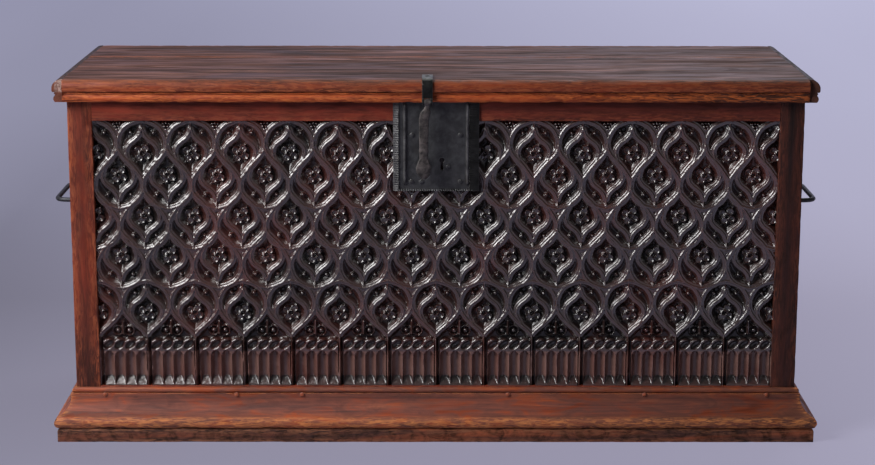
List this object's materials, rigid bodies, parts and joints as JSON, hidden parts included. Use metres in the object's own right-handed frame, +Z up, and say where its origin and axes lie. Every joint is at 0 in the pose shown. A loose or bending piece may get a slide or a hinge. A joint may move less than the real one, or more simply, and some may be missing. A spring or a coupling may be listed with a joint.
{
  "type": "carved coffer chest",
  "caption": "Late Gothic coffer chest with a deeply carved tracery front, moulded plinth, hinged lid with lock plate and hasp, and an iron bail handle at each end.",
  "frame": {"origin": "on the floor, at the middle of the box that holds the whole chest", "axes": "+X to the right along the front as seen from the front, front faces -Y, +Z up"},
  "size_m": [1.3664, 0.4961, 0.6405],
  "materials": {
    "frame_wood": "waxed",
    "carved_wood": "waxed, darkened by age",
    "board_wood": "waxed",
    "inner_wood": "bare",
    "plinth_wood": "waxed, worn edges",
    "lid_wood": "worn wax",
    "lid_edge_wood": "waxed, worn edges",
    "wrought_iron": "forged, blackened"
  },
  "bodies": {
    "carcass": {"front_left_stile": "frame_wood", "front_right_stile": "frame_wood", "front_top_rail": "frame_wood", "front_bottom_rail": "frame_wood", "front_carved_panel": "carved_wood", "left_end_board": "board_wood", "right_end_board": "board_wood", "back_lower_board": "board_wood", "back_upper_board": "board_wood", "floor_front_board": "inner_wood", "floor_rear_board": "inner_wood", "floor_left_bearer": "inner_wood", "floor_middle_bearer": "inner_wood", "floor_right_bearer": "inner_wood", "plinth_front_moulding": "plinth_wood", "plinth_left_moulding": "plinth_wood", "plinth_right_moulding": "plinth_wood", "plinth_front_fillet": "plinth_wood", "plinth_left_fillet": "plinth_wood", "plinth_right_fillet": "plinth_wood", "plinth_nails": "wrought_iron", "left_hinge_leaf": "wrought_iron", "right_hinge_leaf": "wrought_iron", "left_hinge_pin": "wrought_iron", "right_hinge_pin": "wrought_iron", "hinge_leaf_nails": "wrought_iron", "lock_plate": "wrought_iron", "lock_plate_ribs": "wrought_iron", "lock_plate_border": "wrought_iron", "lock_plate_nails": "wrought_iron", "lock_bolt_keepers": "wrought_iron", "lock_spring": "wrought_iron", "left_handle_staples": "wrought_iron", "right_handle_staples": "wrought_iron", "left_handle_roses": "wrought_iron", "right_handle_roses": "wrought_iron"},
    "lid": {"lid_front_plank": "lid_wood", "lid_rear_plank": "lid_wood", "lid_front_rim": "lid_edge_wood", "lid_left_moulding": "lid_edge_wood", "lid_right_moulding": "lid_edge_wood", "left_hinge_strap": "wrought_iron", "right_hinge_strap": "wrought_iron", "hinge_strap_nails": "wrought_iron", "hasp_lid_strap": "wrought_iron", "hasp_lid_nails": "wrought_iron", "hasp_pin": "wrought_iron"},
    "hasp": {"hasp_arm": "wrought_iron", "hasp_loop": "wrought_iron"},
    "lock_bolt": {"lock_bolt": "wrought_iron"},
    "left_bail": {"left_handle_bail": "wrought_iron"},
    "right_bail": {"right_handle_bail": "wrought_iron"}
  },
  "joints": [
    {"name": "lid_hinge", "type": "hinge", "parent": "carcass", "child": "lid", "pos_m": [0, 0.2417, 0.6071], "axis": [-1, 0, 0], "range_deg": [0, 100]},
    {"name": "hasp_hinge", "type": "hinge", "parent": "lid", "child": "hasp", "pos_m": [-0.015, -0.2392, 0.599], "axis": [-1, 0, 0], "range_deg": [-8, 150]},
    {"name": "bolt_slide", "type": "slide", "parent": "carcass", "child": "lock_bolt", "axis": [-1, 0, 0], "range_m": [0, 0.012]},
    {"name": "left_handle_hinge", "type": "hinge", "parent": "carcass", "child": "left_bail", "pos_m": [-0.6405, 0.0078, 0.396], "axis": [0, 1, 0], "range_deg": [-90, 90]},
    {"name": "right_handle_hinge", "type": "hinge", "parent": "carcass", "child": "right_bail", "pos_m": [0.6405, 0.0078, 0.396], "axis": [0, -1, 0], "range_deg": [-90, 90]}
  ]
}
